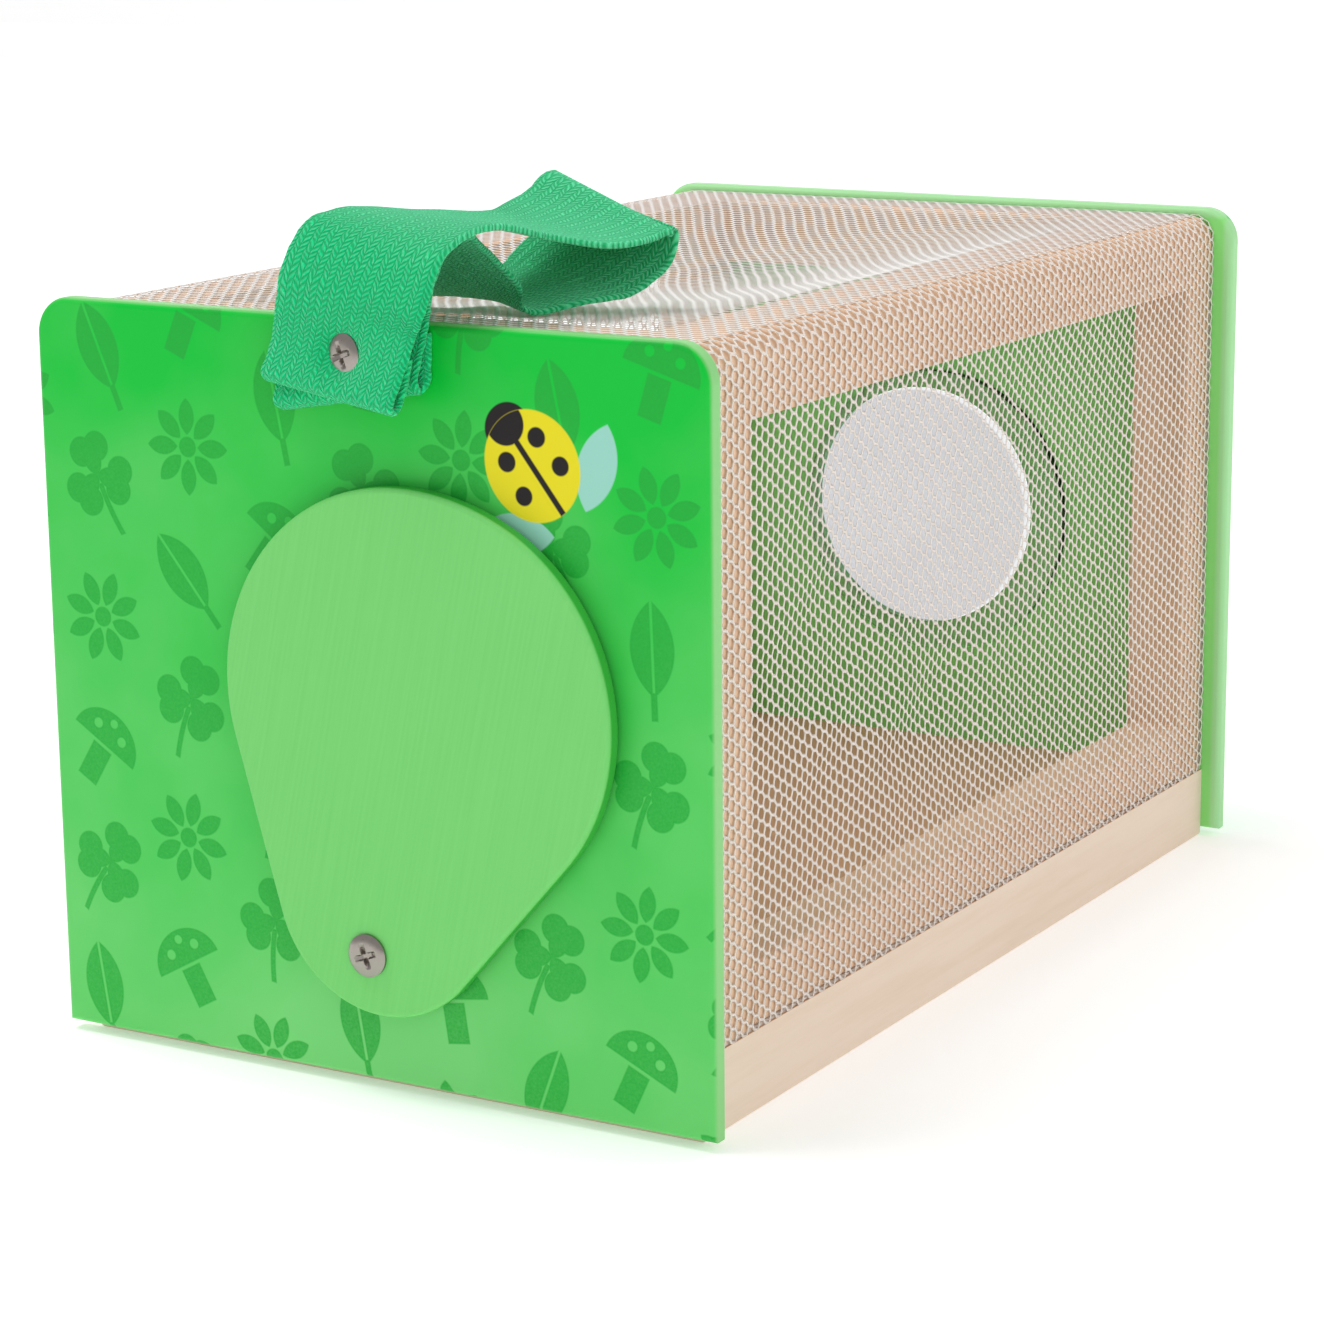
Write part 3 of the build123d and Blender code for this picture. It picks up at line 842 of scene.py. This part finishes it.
def knit_sides(context, looks, tree, shared):
    """The two side walls, from the base board up and round the corners of the top rails."""
    material = net_yarn("net_yarn", looks.yarn, looks.opacity)
    low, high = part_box("net_right")
    top_low, top_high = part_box("net_top")
    base_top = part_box("base_board")[1].z
    window_bottom, window_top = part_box("bottom_right_rail")[1].z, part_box("top_right_rail")[0].z
    corner = high.z - shared["Bend Radius"]
    height = corner - base_top + shared["Bend Radius"] * math.pi / 2
    wall = add_rows(shared, looks, height)
    wall["Flat Height"] = corner - base_top
    wall["Sag"] = looks.side_sag
    wall["Window Middle"] = (window_bottom + window_top) / 2 - base_top
    wall["Window Half Height"] = (window_top - window_bottom) / 2
    hem = high.x - low.x
    flat = (height + hem, high.y - low.y + 2 * hem)
    outside = high.x - looks.strand * looks.flatness / 2
    facing_right = Matrix(((0, 0, 1), (1, 0, 0), (0, 1, 0)))
    facing_left = Matrix.Rotation(math.pi, 3, "Z") @ facing_right
    for node, side, facing in (("net_right", 1, facing_right), ("net_left", -1, facing_left)):
        settings = dict(wall, Rotation=facing.to_euler(), Place=(side * outside, 0, base_top))
        settings["Window Along"] = side * wall["Window Along"]
        hems = side_hems((low, high), top_high.z - top_low.z, corner, side)
        knit(context, tree, node + "_yarn", node, material, settings, hems)


def knit_top(context, looks, tree, shared):
    """The flat net between the corners of the top rails."""
    material = net_yarn("top_net_yarn", looks.top_yarn, looks.top_opacity)
    low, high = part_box("net_top")
    width = high.x - low.x
    settings = add_rows(shared, looks, width)
    settings["Flat Height"] = 2 * width  # past the net's edge, so nothing is bent over
    settings["Sag"] = looks.top_sag
    settings["Window Middle"] = width / 2
    settings["Window Half Height"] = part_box("top_right_rail")[0].x
    settings["Rotation"] = Matrix.Rotation(math.pi / 2, 3, "Z").to_euler()
    settings["Place"] = (high.x, 0, high.z - looks.strand * looks.flatness / 2)
    knit(context, tree, "net_top_yarn", "net_top", material, settings)


class BUGBOX_OT_net(bpy.types.Operator):
    """Knit the net over the two sides and the top"""

    bl_idname = "bugbox.net"
    bl_label = "Knit the net"

    def execute(self, context):
        looks = context.scene.bugbox_net
        low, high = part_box("net_right")
        net_length = high.y - low.y
        shared = shared_settings(looks, net_length, bend=high.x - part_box("net_top")[1].x)
        tree = net_tree()
        knit_sides(context, looks, tree, shared)
        knit_top(context, looks, tree, shared)
        return {"FINISHED"}


# Carrying strap

# Middle of the webbing from the folded outer end, over the loop, to the folded inner end: X from the
# strap screw, Y back from the front face, Z above the top of the panel, in millimetres, then the turn
# of its width about Z and the dip of its right edge, in degrees.
strap_stations = [
    (-0.4, -3.2, -3.0, -8, 7),
    (-1.2, -3.2, -7.0, -8, 7),
    (-2.1, -3.3, -9.6, -8, 7),
    (-2.4, -4.6, -10.8, -8, 7),
    (-2.1, -5.9, -9.6, -8, 7),
    (-1.3, -5.3, -7.0, -8, 8),
    (-0.4, -4.7, -3.6, -7, 8),
    (0.6, -4.5, 0.4, -4, 7),
    (2.2, -4.5, 5.1, -1, 5),
    (4.4, -2.2, 11.2, 0, 2),
    (6.0, 2.6, 13.8, 0, 3),
    (7.7, 9.6, 14.1, 0, 3),
    (10.6, 19.2, 12.5, -2, 6),
    (14.7, 29.5, 11.0, -5, 8),
    (16.0, 37.8, 11.8, -7, 12),
    (16.9, 43.2, 13.6, -10, 18),
    (17.0, 44.9, 12.4, -11, 18),
    (16.7, 45.1, 10.2, -12, 18),
    (15.5, 44.1, 7.1, -12, 12),
    (13.3, 39.4, 3.9, -8, 9),
    (10.2, 33.2, 1.8, -11, 2),
    (4.5, 25.9, 0.6, -10, 1),
    (2.3, 19.4, 4.9, -7, -2),
    (1.3, 13.1, 9.7, -5, -1),
    (1.5, 5.9, 11.9, -2, -2),
    (1.1, -0.7, 6.5, 0, -1),
    (0.3, -1.5, 0.0, 0, -4),
    (-0.3, -1.6, -4.5, 0, -8),
    (-1.0, -2.2, -8.4, 0, -9),
    (-1.2, -2.5, -10.6, 0, -9),
    (-1.0, -1.4, -11.7, 0, -9),
    (0.0, -0.6, -10.8, 0, -12),
    (0.0, -0.5, -7.4, 0, -10),
    (0.0, -0.5, -3.0, 0, -8),
]


def smooth_path(stations, steps):
    """Points on a smooth line through all the stations."""
    path = []
    for index in range(len(stations) - 1):
        before = stations[max(index - 1, 0)]
        start, end = stations[index], stations[index + 1]
        after = stations[min(index + 2, len(stations) - 1)]
        for step in range(steps):
            t = step / steps
            weights = (
                (2 * t * t - t**3 - t) / 2,
                (3 * t**3 - 5 * t * t + 2) / 2,
                (t + 4 * t * t - 3 * t**3) / 2,
                (t**3 - t * t) / 2,
            )
            corners = zip(before, start, end, after)
            path.append([sum(w * value for w, value in zip(weights, values)) for values in corners])
    path.append(list(stations[-1]))
    return path


def strap_rim(width, thickness, count):
    """The outline of the webbing's cross-section with round edges, as places across and up."""
    half, thin = width / 2, thickness / 2
    flat = half - thin
    top = [(-flat + 2 * flat * step / count, thin) for step in range(count + 1)]
    turn = [(flat + thin * math.cos(a), thin * math.sin(a)) for a in (math.pi / 4, 0.0, -math.pi / 4)]
    bottom = [(x, -thin) for x, up in reversed(top)]
    back = [(-x, -up) for x, up in turn]
    return top + turn + bottom + back


def pressed_in(looks, place, screw):
    """A place on the webbing, pushed back where it lies under the rim of the screw's head."""
    off = math.hypot(place.x - screw.x, place.z - screw.z) / looks.dimple_radius
    if off >= 1 or place.y > screw.y + 2 * looks.thickness:
        return place
    return place + Vector((0, looks.dimple * (0.5 + 0.5 * math.cos(math.pi * off)), 0))


def strap_across(station, along):
    """The direction across the webbing: square to its path in the loop, slanted in the folded ends."""
    loop_start = 5.0  # millimetres behind the front face, or above the panel
    turn, dip = math.radians(station[3]), math.radians(station[4])
    across = Vector((math.cos(turn) * math.cos(dip), math.sin(turn) * math.cos(dip), -math.sin(dip)))
    squared = min(1.0, max(0.0, station[1] / loop_start, station[2] / loop_start))
    return (across - along * across.dot(along) * squared).normalized()


def wavering(travelled):
    """Share of the width that the webbing has after some millimetres, since its edges waver."""
    return 1.0 + 0.006 * math.sin(1.9 * travelled) + 0.005 * math.sin(0.7 * travelled + 1.0)


def strap_points(looks, origin, screw, rim):
    """The webbing's points ring by ring, and in millimetres their places on it and its length."""
    path = smooth_path(strap_stations, steps=5)
    middles = [origin + Vector(station[:3]) * MM for station in path]
    points, places = [], []
    travelled = 0.0
    for index, station in enumerate(path):
        along = (middles[min(index + 1, len(path) - 1)] - middles[max(index - 1, 0)]).normalized()
        across = strap_across(station, along)
        up = across.cross(along).normalized()
        if index:
            travelled += (middles[index] - middles[index - 1]).length / MM
        for sideways, lift in rim:
            place = middles[index] + across * (sideways * wavering(travelled)) + up * lift
            points.append(pressed_in(looks, place, screw))
            places.append((sideways / MM, travelled))
    return points, places, travelled


def strap_mesh(looks, origin, screw):
    """The webbing as one strip, with its width and its length in millimetres as UV, and its cut length."""
    rim = strap_rim(looks.width, looks.thickness, count=16)
    points, places, travelled = strap_points(looks, origin, screw, rim)
    around = len(rim)
    faces = grid_faces(len(points) // around, around, closed_columns=True)
    faces.append(list(range(around)))
    last = len(points) - around
    faces.append([last + corner for corner in reversed(range(around))])
    mesh = bpy.data.meshes.new("handle_strap_webbing")
    mesh.from_pydata(points, [], faces)
    uv = mesh.uv_layers.new(name="weave")
    for loop in mesh.loops:
        uv.data[loop.index].uv = places[loop.vertex_index]
    for polygon in mesh.polygons:
        polygon.use_smooth = True
    return mesh, travelled * MM


def webbing(looks):
    """Herringbone: columns of slanting yarns that lean the other way from column to column."""
    surface = Surface("webbing", on="UV")
    column = looks.column / MM
    twill = looks.twill / MM
    loop_middle = 92.0  # where the top of the loop lies along the webbing, in millimetres: it is painted paler there, as painted light from above
    loop_half_length, loop_fade = 60.0, 8.0
    waver = noise(surface.place(), scale=0.55) - 0.5
    part = (surface.x + waver * 0.7) / column
    lean = (part.floor() % 2.0) * 2.0 - 1.0
    within = part - part.floor()
    slant = (surface.y + lean * within * column * 0.9 + waver * 0.9) * (2 * math.pi / twill)
    groove = ((0.5 - abs(within - 0.5)) * 6.0).held()
    weave = (slant.sine() * 0.5 + 0.5) * groove
    fibres = noise(surface.place(), scale=2.2, detail=3.0)
    # Low in the hollows between the yarns, which take the darker colour there: painted shade; the fibre
    # noise adds random tone.
    shade = (weave * 0.75 + fibres * 0.5 - 0.1).held()
    tone = mixed(shade, looks.dark, looks.light)
    # The top of the loop is painted paler: painted light from above.
    painted_top_light = ((loop_half_length - abs(surface.y - loop_middle)) / loop_fade).held() * 0.4
    pale = (((fibres - 0.56) * 2.2).held() + painted_top_light).held() * weave
    return surface.set(
        Base_Color=mixed(pale, tone, looks.fuzz_and_top_light),
        Roughness=0.85,
        Specular_IOR_Level=0.1,
        Sheen_Weight=1.0,
        Sheen_Tint=looks.fuzz_and_top_light,
        Normal=bumped(weave * 0.75 + fibres * 0.25, 0.35 * MM, strength=0.9),
    )


class BUGBOX_OT_strap(bpy.types.Operator):
    """Fold the webbing into the carrying loop"""

    bl_idname = "bugbox.strap"
    bl_label = "Fold the strap"

    def execute(self, context):
        looks = context.scene.bugbox_strap
        screw_low, screw_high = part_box("strap_screw")
        panel_low, panel_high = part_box("front_panel")
        origin = Vector(((screw_low.x + screw_high.x) / 2, panel_low.y, panel_high.z))
        screw = Vector((origin.x, screw_low.y, (screw_low.z + screw_high.z) / 2))
        mesh, cut = strap_mesh(looks, origin, screw)
        piece = add_piece("handle_strap_webbing", mesh, webbing(looks), "box", "handle_strap")
        return {"FINISHED"}


# Metal and lens


def steel(looks):
    """Bright steel with a little wear."""
    surface = Surface("screw_steel")
    wear = noise(surface.place(), scale=1.5, detail=3.0)
    return surface.set(Base_Color=looks.steel, Metallic=1.0, Roughness=0.22 + wear * 0.16)


def recess(x, z, looks):
    """Depth of the cross recess at a place on the head, deepest in the middle."""
    arm = 1 - max(abs(x), abs(z)) / looks.recess_arm
    side = 1 - min(abs(x), abs(z)) / looks.recess_width
    if arm <= 0 or side <= 0:
        return 0.0
    return looks.recess_depth * min(1.0, 2.5 * side) * min(1.0, 1.6 * arm)


def head_face(looks, radius, rings, around):
    """Points of the domed head with its recess, ring by ring: X and Z from the middle, Y from the face."""
    points = []
    for ring in range(rings):
        share = (ring + 1) / rings
        for step in range(around):
            turn = 2 * math.pi * step / around
            depth = recess(radius * share * math.cos(turn), radius * share * math.sin(turn), looks)
            turn += looks.recess_turn
            x, z = radius * share * math.cos(turn), radius * share * math.sin(turn)
            points.append(Vector((x, looks.head_dome * share**4 + depth, z)))
    return points


def screw_body(looks, radius, screw_length, around):
    """Points of the head's rim, its underside, the shank and the tip, ring by ring."""
    shank = looks.shank_radius
    rings = (
        (radius, looks.head_thickness),
        (shank, looks.head_thickness),
        (shank, screw_length - 2 * shank),
        (shank / 4, screw_length),
    )
    points = []
    for reach, y in rings:
        for step in range(around):
            turn = 2 * math.pi * step / around + looks.recess_turn
            points.append(Vector((reach * math.cos(turn), y, reach * math.sin(turn))))
    return points


def screw_mesh(name, looks, node, lean):
    """A screw with a domed head and a cross recess, of the CAD screw's size, leaning about Z."""
    rings, around = 26, 96
    low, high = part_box(node)
    radius = (high.x - low.x) / 2
    points = head_face(looks, radius, rings, around) + screw_body(looks, radius, high.y - low.y, around)
    faces = grid_faces(len(points) // around, around, closed_columns=True)
    last = len(points) - around
    faces.append([last + step for step in range(around)])
    centre = len(points)
    points.append(Vector((0, looks.recess_depth, 0)))
    faces += [(centre, (step + 1) % around, step) for step in range(around)]
    mesh = bpy.data.meshes.new(name)
    mesh.from_pydata(points, [], faces)
    mesh.validate()
    face_middle = Vector(((low.x + high.x) / 2, low.y, (low.z + high.z) / 2))
    under_head = Vector((0, looks.head_thickness, 0))
    turn = Matrix.Rotation(-lean, 4, "Z")
    mesh.transform(Matrix.Translation(face_middle + under_head) @ turn @ Matrix.Translation(-under_head))
    return mesh


class BUGBOX_OT_screws(bpy.types.Operator):
    """Give the two visible screws their cross recess, and the hidden metal its finish"""

    bl_idname = "bugbox.screws"
    bl_label = "Finish the screws"

    def execute(self, context):
        looks = context.scene.bugbox_metal
        material = steel(looks)
        dress(material, "base_screws", "door_washer", "door_nut", "net_staples")
        for node, lean in (("door_screw", 0.0), ("strap_screw", looks.strap_screw_lean)):
            mesh = screw_mesh(node + "_head", looks, node, lean)
            add_piece(node + "_detail", mesh, material, "box", node)
        return {"FINISHED"}


def lens_glass(looks):
    """Clear over the panel, grey over the viewing hole: some haze and painted shade of what lies behind."""
    surface = Surface("lens_glass")
    out = circle(surface.x, surface.z, looks.hole_x / MM, looks.hole_z / MM, looks.hole_radius / MM)
    tint = mixed(inked(out, softness=0.4), looks.lens_clear, looks.lens_haze_and_shade)
    return surface.set(Base_Color=tint, Roughness=0.0, IOR=1.45, Transmission_Weight=1.0)


class BUGBOX_OT_lens(bpy.types.Operator):
    """Make the magnifier clear"""

    bl_idname = "bugbox.lens"
    bl_label = "Clear the lens"

    def execute(self, context):
        dress(lens_glass(context.scene.bugbox_metal), "lens")
        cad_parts["lens"].visible_shadow = False  # light passes through to the panel behind it
        return {"FINISHED"}


# Studio


def add_camera(context, looks):
    """The camera on its azimuth, elevation and roll about the target."""
    right = Vector((math.cos(looks.azimuth), math.sin(looks.azimuth), 0))
    outward = Vector((right.y, -right.x, 0))
    back = outward * math.cos(looks.elevation) + Vector((0, 0, math.sin(looks.elevation)))
    up = back.cross(right)
    cosine, sine = math.cos(looks.roll), math.sin(looks.roll)
    right, up = right * cosine + up * sine, up * cosine - right * sine
    data = bpy.data.cameras.new("camera")
    data.lens = looks.lens
    data.sensor_width = 36.0
    data.clip_start = 0.01
    camera = bpy.data.objects.new("camera", data)
    turn = Matrix((right, up, back)).transposed().to_4x4()
    camera.matrix_world = Matrix.Translation(Vector(looks.target) + back * looks.distance) @ turn
    context.scene.collection.objects.link(camera)
    context.scene.camera = camera


def add_light(context, name, power, size, place, target):
    """A soft square light that points at the target."""
    data = bpy.data.lights.new(name, "AREA")
    data.shape = "SQUARE"
    data.size = size
    data.energy = power
    light = bpy.data.objects.new(name, data)
    light.location = place
    light.rotation_euler = (Vector(target) - Vector(place)).to_track_quat("-Z", "Y").to_euler()
    context.scene.collection.objects.link(light)


def add_floor(context, looks):
    """A white floor that curves up behind the box, in metres."""
    front = -3.0
    straight = 1.6
    curve = 0.8
    top = 2.4
    half_width = 4.0
    steps = 12
    shadow_reach = 150.0  # millimetres from the middle of the box, where the dimmer glow ends
    shadow_fade = 400.0
    profile = [(front, 0.0), (straight, 0.0)]
    for step in range(1, steps + 1):
        turn = math.pi / 2 * step / steps
        profile.append((straight + curve * math.sin(turn), curve * (1 - math.cos(turn))))
    profile.append((straight + curve, top))
    points = [(side * half_width, y, z) for y, z in profile for side in (-1, 1)]
    mesh = bpy.data.meshes.new("floor")
    mesh.from_pydata(points, [], grid_faces(len(profile), 2))
    surface = Surface("floor_white")
    # The floor glows less near the box: painted shade round it, so that the cast shadows show.
    away = ((hypot(surface.x, surface.y) - shadow_reach) / shadow_fade).held()
    glow = mixed(away, looks.floor_near_shade, looks.floor)
    white = surface.set(
        Base_Color=looks.floor, Roughness=0.9, Emission_Color=glow, Emission_Strength=looks.floor_glow
    )
    mesh.materials.append(white)
    floor = bpy.data.objects.new("floor", mesh)
    context.scene.collection.objects.link(floor)


def set_world(context, looks):
    """Plain white surroundings."""
    world = bpy.data.worlds.new("studio")
    world.use_nodes = True
    background = world.node_tree.nodes["Background"]
    background.inputs["Color"].default_value = (1.0, 1.0, 1.0, 1.0)
    background.inputs["Strength"].default_value = looks.sky
    context.scene.world = world
    context.scene.view_settings.view_transform = "Standard"


class BUGBOX_OT_studio(bpy.types.Operator):
    """Set up the camera, the lights and the white floor"""

    bl_idname = "bugbox.studio"
    bl_label = "Set up the studio"

    def execute(self, context):
        looks = context.scene.bugbox_studio
        set_world(context, looks)
        add_floor(context, looks)
        target = looks.light_target
        add_light(context, "key_light", looks.key, looks.key_size, looks.key_place, target)
        add_light(context, "fill_light", looks.fill, looks.fill_size, looks.fill_place, target)
        add_camera(context, looks)
        return {"FINISHED"}


# Add-on


class BUGBOX_PT_panel(bpy.types.Panel):
    """Buttons that build the bug box piece by piece"""

    bl_label = "Bug box"
    bl_idname = "BUGBOX_PT_panel"
    bl_space_type = "VIEW_3D"
    bl_region_type = "UI"
    bl_category = "Bug box"

    def draw(self, context):
        for operator in operators:
            self.layout.operator(operator.bl_idname)


looks_groups = {
    "bugbox_paint": PaintLooks,
    "bugbox_wood": WoodLooks,
    "bugbox_net": NetLooks,
    "bugbox_strap": StrapLooks,
    "bugbox_metal": MetalLooks,
    "bugbox_studio": StudioLooks,
}
operators = (
    BUGBOX_OT_wood,
    BUGBOX_OT_panels,
    BUGBOX_OT_door,
    BUGBOX_OT_lens,
    BUGBOX_OT_screws,
    BUGBOX_OT_net,
    BUGBOX_OT_strap,
    BUGBOX_OT_studio,
)


def register():
    for group in looks_groups.values():
        bpy.utils.register_class(group)
    for name, group in looks_groups.items():
        setattr(bpy.types.Scene, name, PointerProperty(type=group))
    for operator in operators:
        bpy.utils.register_class(operator)
    bpy.utils.register_class(BUGBOX_PT_panel)


def unregister():
    bpy.utils.unregister_class(BUGBOX_PT_panel)
    for operator in reversed(operators):
        bpy.utils.unregister_class(operator)
    for name, group in reversed(looks_groups.items()):
        delattr(bpy.types.Scene, name)
        bpy.utils.unregister_class(group)


def main():
    register()
    bpy.ops.bugbox.wood()
    bpy.ops.bugbox.panels()
    bpy.ops.bugbox.door()
    bpy.ops.bugbox.lens()
    bpy.ops.bugbox.screws()
    bpy.ops.bugbox.net()
    bpy.ops.bugbox.strap()
    bpy.ops.bugbox.studio()


if __name__ == "__main__":
    main()
